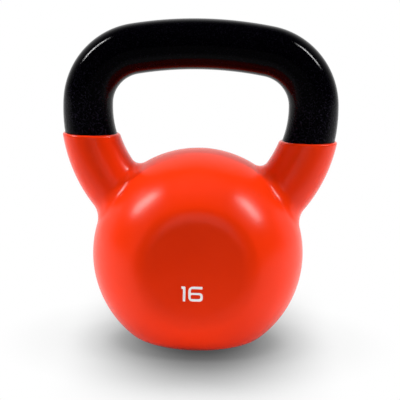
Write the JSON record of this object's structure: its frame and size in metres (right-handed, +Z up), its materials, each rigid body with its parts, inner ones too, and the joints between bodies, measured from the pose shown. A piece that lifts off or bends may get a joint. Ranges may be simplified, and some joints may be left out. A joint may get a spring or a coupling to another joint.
{
  "type": "kettlebell",
  "caption": "Cast-iron kettlebell: a ball with two blended horns and an arched enamelled grip, jacketed in orange-red vinyl, with its weight printed on the front flat.",
  "frame": {"origin": "middle of the flat that the kettlebell stands on, at the height of the floor", "axes": "+Z up, X along the grip, -Y the front with the printed weight"},
  "size_m": [0.2051, 0.1353, 0.2443],
  "materials": {
    "bare_iron": "matte",
    "black_enamel": "gloss",
    "orange_vinyl": "gloss",
    "white_ink": "satin"
  },
  "bodies": {
    "root": {"iron_casting": "bare_iron", "handle_enamel": "black_enamel", "vinyl_jacket": "orange_vinyl", "digit_one": "white_ink", "digit_six": "white_ink"}
  },
  "joints": []
}
